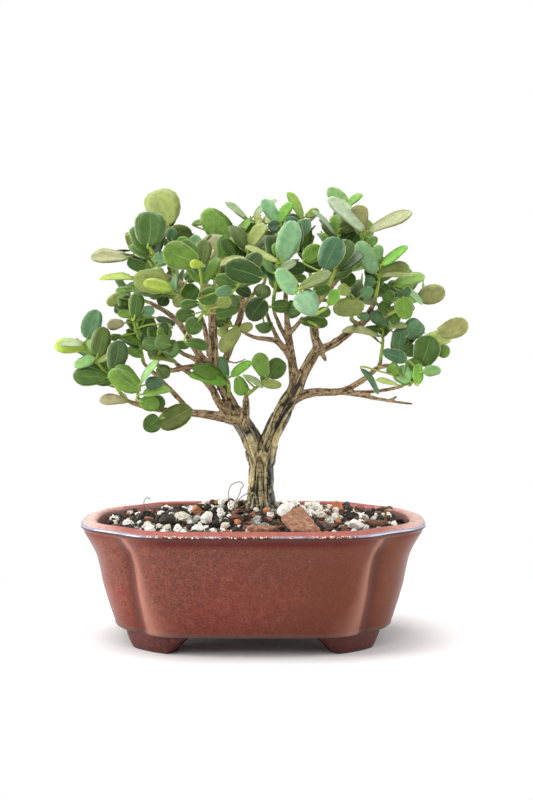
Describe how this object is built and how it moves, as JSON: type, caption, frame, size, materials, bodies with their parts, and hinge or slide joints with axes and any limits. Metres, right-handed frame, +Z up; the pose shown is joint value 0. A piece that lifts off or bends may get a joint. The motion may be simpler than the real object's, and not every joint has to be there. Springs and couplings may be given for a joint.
{
  "type": "natal plum bonsai",
  "caption": "Small natal plum bonsai: forked ridged trunk, leathery leaves in opposite pairs, granular soil and a glazed four-lobed pot on bracket feet.",
  "frame": {"origin": "on the surface that the pot's feet stand on, under the middle of the whole plant's box; the pot's own middle is 5.1 mm to -X of it", "axes": "+Z up along the trunk, +X to the viewer's right along the pot's length, -Y towards the viewer"},
  "size_m": [0.1788, 0.114, 0.1975],
  "materials": {
    "pot_glaze": "glossy oxblood glaze with fine speckle",
    "soil_mix": "rough granules of lava, pumice, clay and bark",
    "bark": "deeply ridged dry bark",
    "leaf": "leathery, softly glossy",
    "screen_plastic": "matte",
    "bark_chip": "dry and fibrous",
    "pumice": "porous, matte",
    "lava": "porous, matte",
    "baked_clay": "unglazed, matte"
  },
  "bodies": {
    "root": {"back_centre_shoot": "leaf", "back_left_shoot": "leaf", "back_left_top_shoot": "leaf", "back_low_shoot": "leaf", "back_right_low_shoot": "leaf", "back_right_shoot": "leaf", "bark_chip_large": "bark_chip", "bark_flake_front": "bark_chip", "bark_flake_right": "bark_chip", "centre_crown_shoot": "leaf", "centre_dark_shoot": "leaf", "centre_front_shoot": "leaf", "centre_low_shoot": "leaf", "centre_shade_shoot": "leaf", "centre_tall_shoot": "leaf", "centre_top_shoot": "leaf", "clay_granule": "baked_clay", "drain_screen_left": "screen_plastic", "drain_screen_right": "screen_plastic", "far_left_shoot": "leaf", "front_blue_shoot": "leaf", "front_left_high_shoot": "leaf", "front_olive_shoot": "leaf", "front_round_shoot": "leaf", "lava_left": "lava", "left_centre_top_shoot": "leaf", "left_crest_shoot": "leaf", "left_high_shoot": "leaf", "left_inner_shoot": "leaf", "left_lime_shoot": "leaf", "left_middle_shoot": "leaf", "left_point_shoot": "leaf", "left_shade_shoot": "leaf", "left_tier_shoot": "leaf", "left_top_shoot": "leaf", "low_left_shoot": "leaf", "low_right_shoot": "leaf", "lowest_shoot": "leaf", "pink_old_shoot": "leaf", "pot": "pot_glaze", "pumice_large": "pumice", "pumice_left": "pumice", "pumice_right": "pumice", "right_bright_shoot": "leaf", "right_dark_shoot": "leaf", "right_edge_shoot": "leaf", "right_fan_end_shoot": "leaf", "right_fan_rise_shoot": "leaf", "right_high_shoot": "leaf", "right_lime_top_shoot": "leaf", "right_long_shoot": "leaf", "right_round_shoot": "leaf", "right_shade_shoot": "leaf", "right_slim_shoot": "leaf", "right_teal_shoot": "leaf", "right_top_shoot": "leaf", "soil": "soil_mix", "stub_left_shoot": "leaf", "stub_right_shoot": "leaf", "trunk_and_branches": "bark"}
  },
  "joints": []
}
